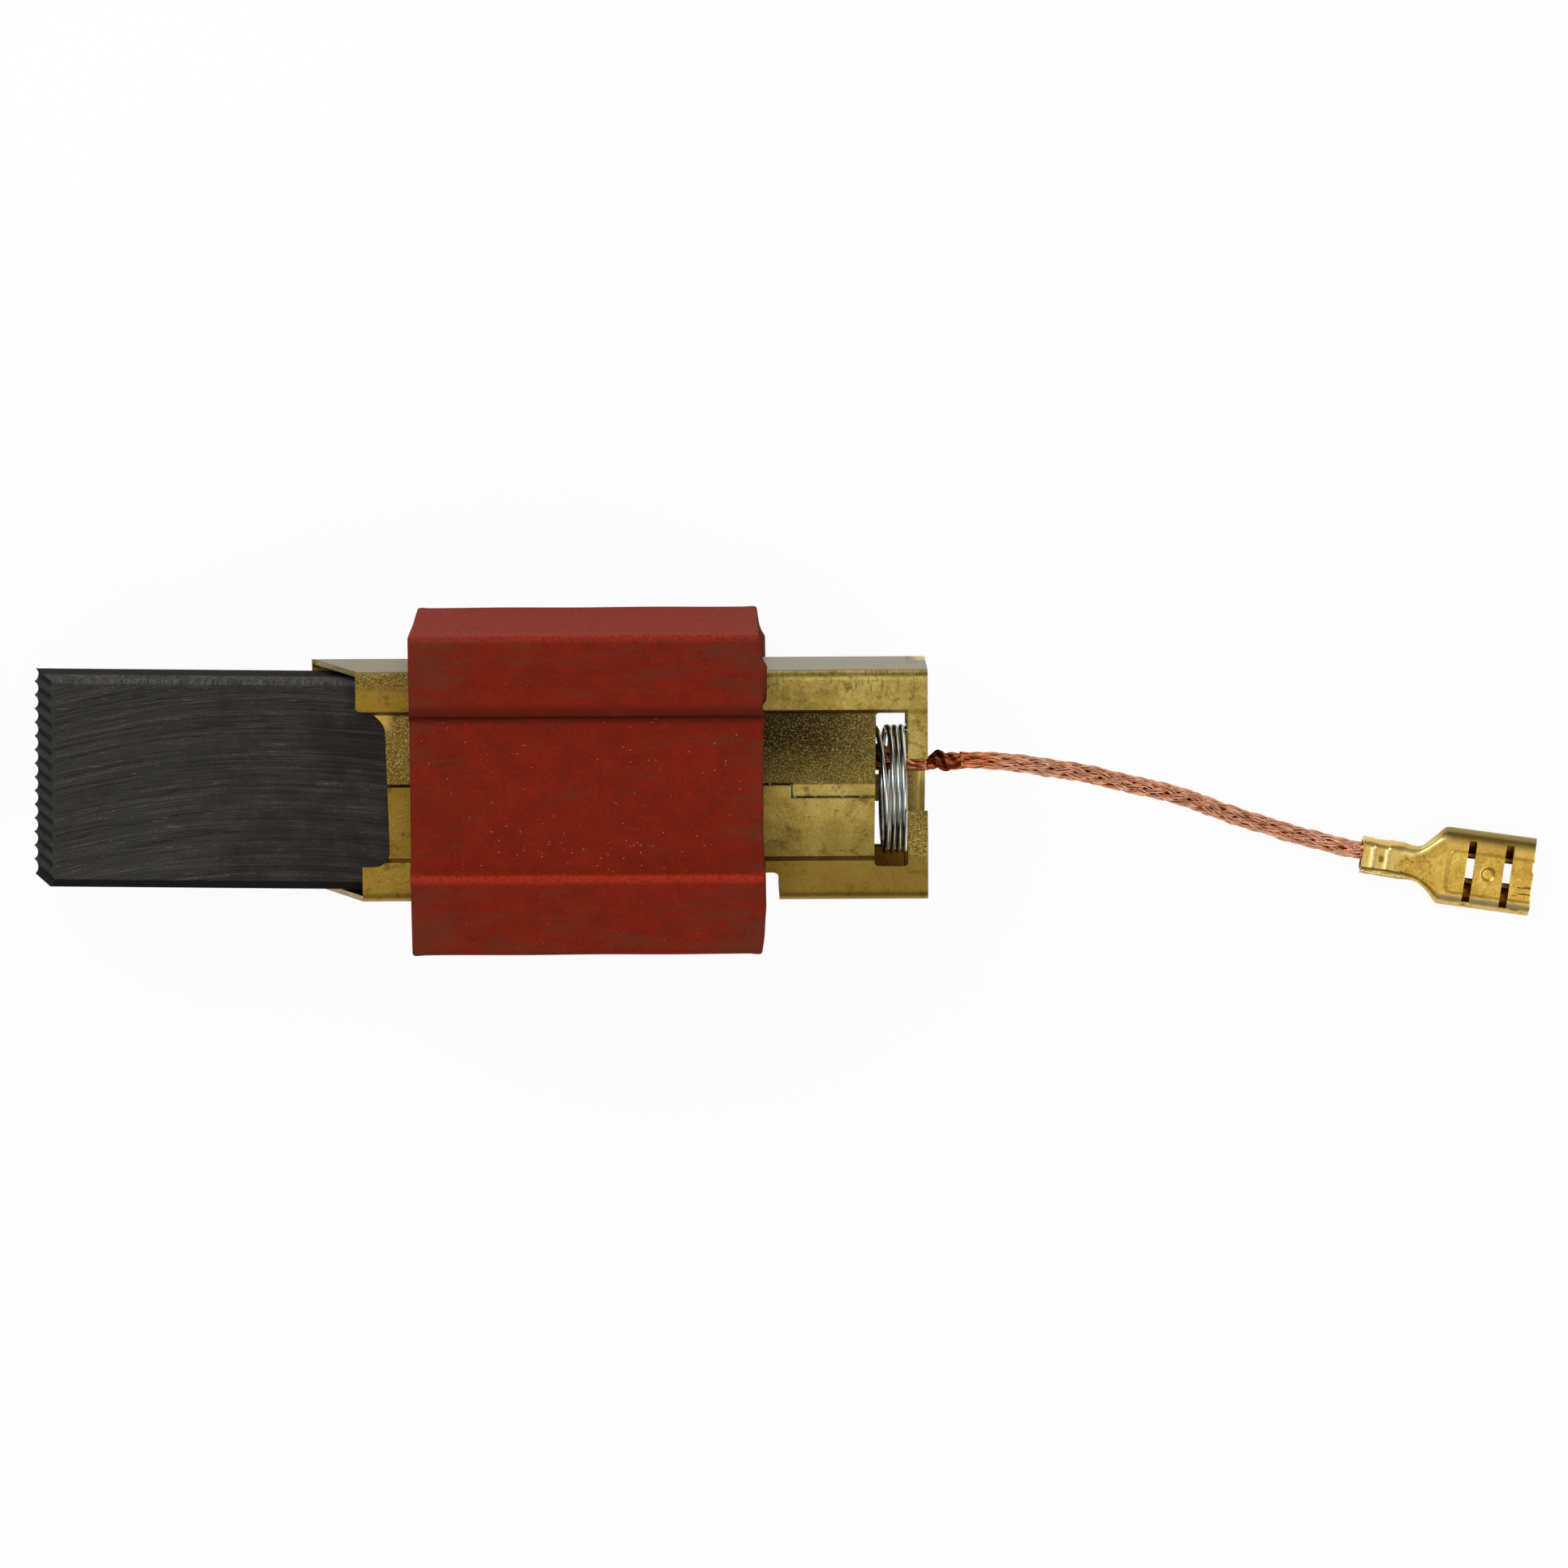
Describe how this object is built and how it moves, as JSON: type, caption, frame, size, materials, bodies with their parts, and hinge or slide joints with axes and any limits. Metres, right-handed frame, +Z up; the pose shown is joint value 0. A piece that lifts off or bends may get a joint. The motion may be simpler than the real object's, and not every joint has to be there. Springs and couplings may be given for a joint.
{
  "type": "carbon brush with holder and lead",
  "caption": "Carbon brush in a folded brass holder with a red insulating sleeve, coil spring, braided copper lead and push-on terminal.",
  "frame": {"origin": "halfway along the brush and its holder, on the surface that the sleeve's back face rests on", "axes": "+X from the contact face to the lead, +Y across the wide side of the carbon, +Z up, away from the surface"},
  "size_m": [0.1175, 0.0247, 0.026],
  "materials": {
    "carbon": "matte",
    "copper_powder": "matte",
    "holder_brass": "satin",
    "red_insulation": "satin",
    "spring_steel": "polished",
    "copper_braid": "satin",
    "terminal_brass": "polished"
  },
  "bodies": {
    "holder": {"brush_holder": "holder_brass", "insulating_sleeve": "red_insulation", "brush_spring": "spring_steel"},
    "brush": {"carbon_block": "carbon", "tamped_plug": "copper_powder", "inner_shunt": "copper_braid", "shunt_knot": "copper_braid", "shunt_lead": "copper_braid", "push_on_terminal": "terminal_brass"}
  },
  "joints": [
    {"name": "brush_feed", "type": "slide", "parent": "holder", "child": "brush", "axis": [1, 0, 0], "range_m": [0, 0.02], "stiffness_N_per_m": 200, "springref_m": -0.01, "deforming": ["brush_spring"]}
  ]
}
